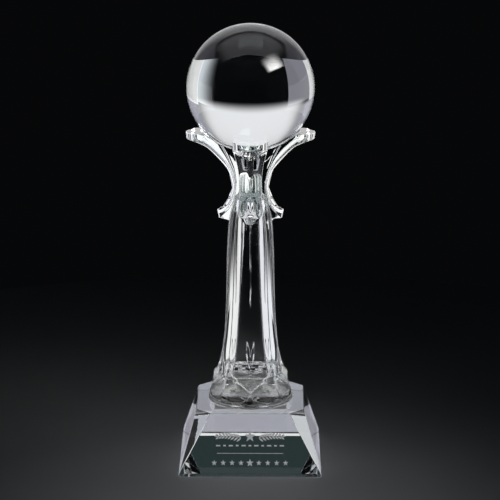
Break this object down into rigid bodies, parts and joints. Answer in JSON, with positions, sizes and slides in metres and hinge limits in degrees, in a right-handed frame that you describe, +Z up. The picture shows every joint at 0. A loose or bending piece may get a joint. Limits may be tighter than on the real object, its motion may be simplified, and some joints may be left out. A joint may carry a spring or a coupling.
{
  "type": "column trophy",
  "caption": "Clear crystal trophy: a ball cradled by curled leaf brackets on a fluted column, bonded to a bevelled block with an etched star.",
  "frame": {"origin": "centre of the block's flat underside, on the surface that the trophy stands on", "axes": "+Z up along the column's axis, -Y the front with the etched face, +X to the right of someone facing the front"},
  "size_m": [0.112, 0.112, 0.3504],
  "materials": {
    "clear_crystal": "polished",
    "clear_adhesive": "gloss"
  },
  "bodies": {
    "root": {"base_block": "clear_crystal", "foot_bond": "clear_adhesive", "column": "clear_crystal", "leaf_front": "clear_crystal", "leaf_right": "clear_crystal", "leaf_back": "clear_crystal", "leaf_left": "clear_crystal", "leaf_bonds": "clear_adhesive", "crystal_ball": "clear_crystal", "ball_bonds": "clear_adhesive"}
  },
  "joints": []
}
